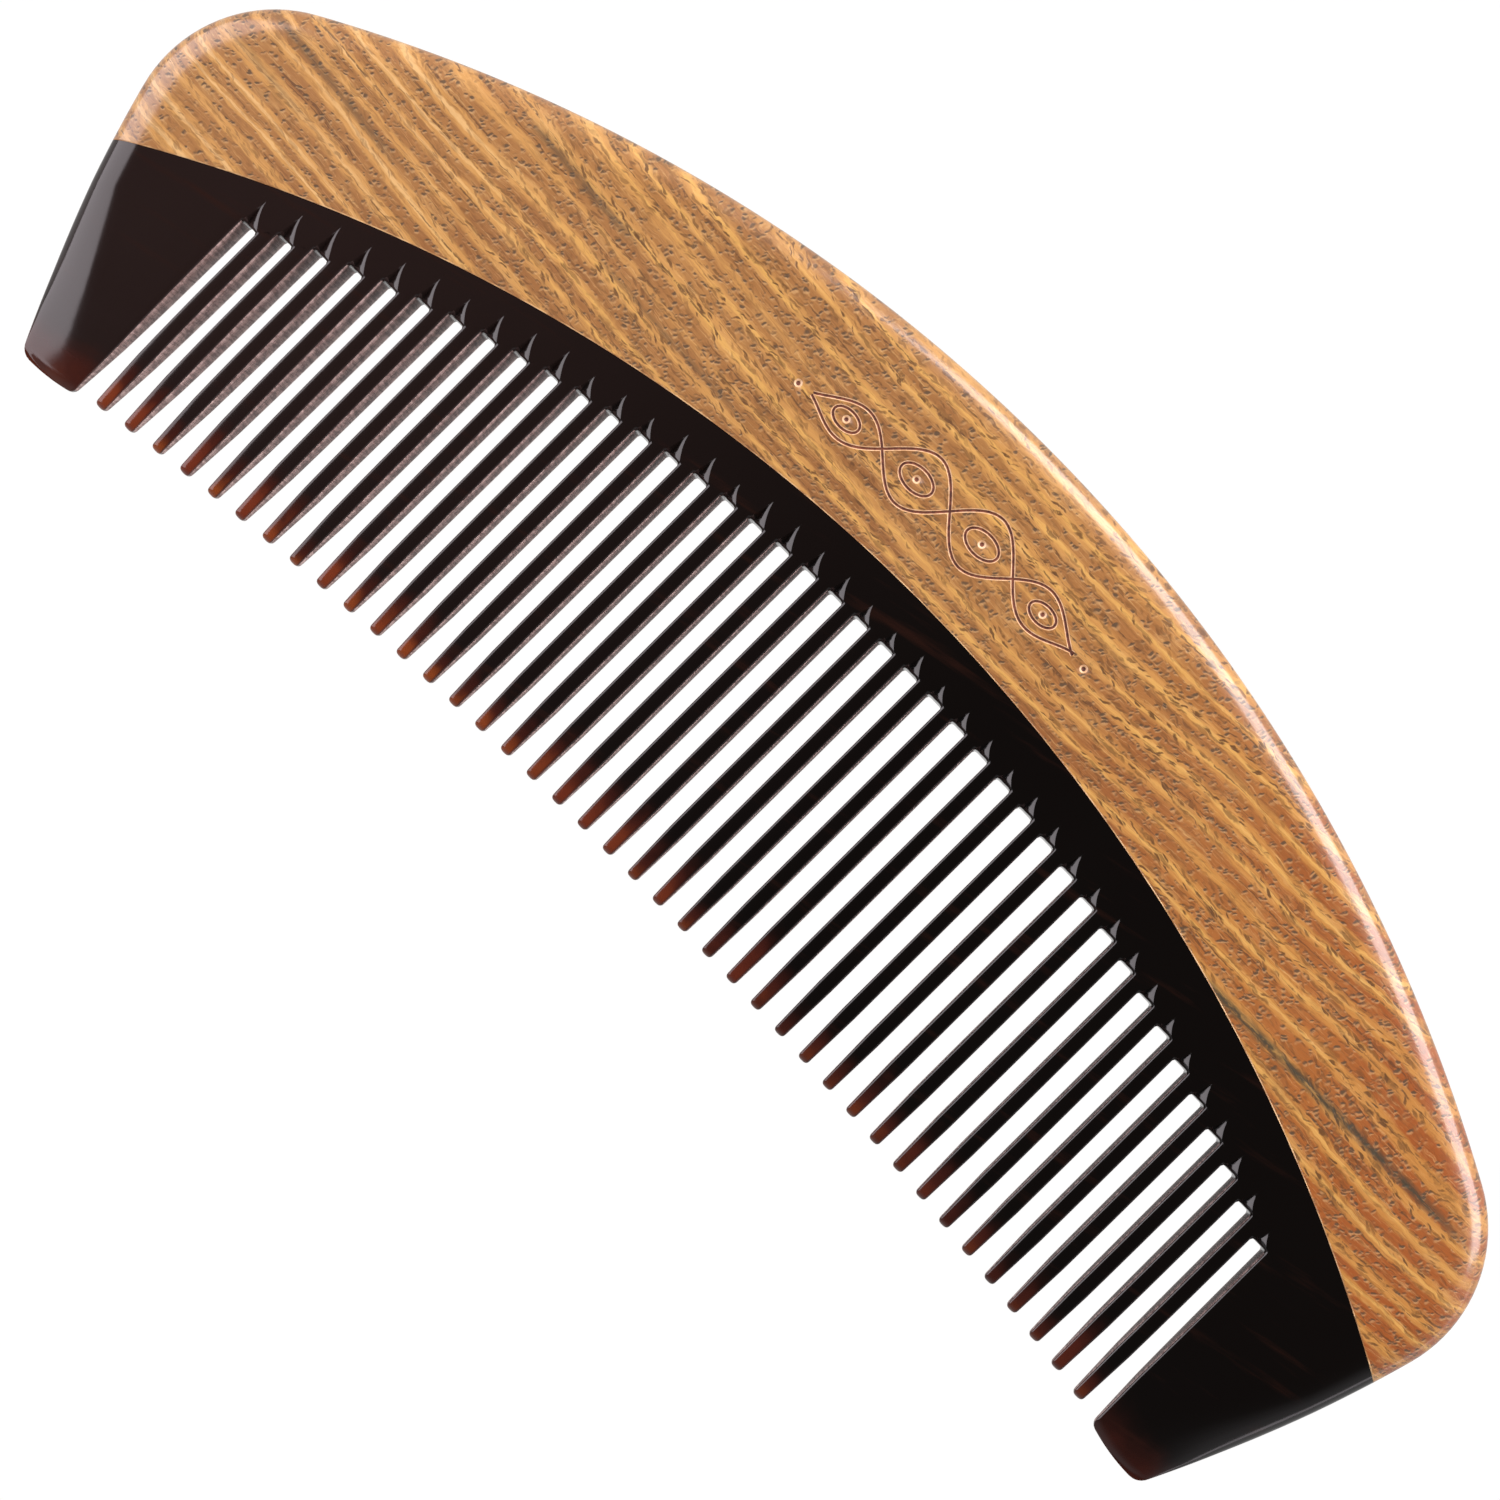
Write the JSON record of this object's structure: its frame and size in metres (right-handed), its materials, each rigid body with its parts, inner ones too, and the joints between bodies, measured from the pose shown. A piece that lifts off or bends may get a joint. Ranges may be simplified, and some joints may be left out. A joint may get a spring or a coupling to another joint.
{
  "type": "beard comb",
  "caption": "Moon-shaped beard comb: a polished wooden spine glued to a dark horn plate with sawn parallel teeth between two wide end guards.",
  "frame": {"origin": "under the middle of the comb, in the plane of the spine's flat back face", "axes": "+X along the comb's length, +Y from the tooth tips to the crown of the spine, +Z out of the front face"},
  "size_m": [0.1772, 0.065, 0.0075],
  "materials": {
    "spine_wood": "polished honey-coloured hardwood with interlocked striped grain",
    "tooth_horn": "polished black-brown horn, reddish and translucent where it is thin",
    "seam_glue": "thin film of clear amber glue"
  },
  "bodies": {
    "root": {"wood_spine": "spine_wood", "horn_tooth_plate": "tooth_horn", "glue_line": "seam_glue"}
  },
  "joints": []
}
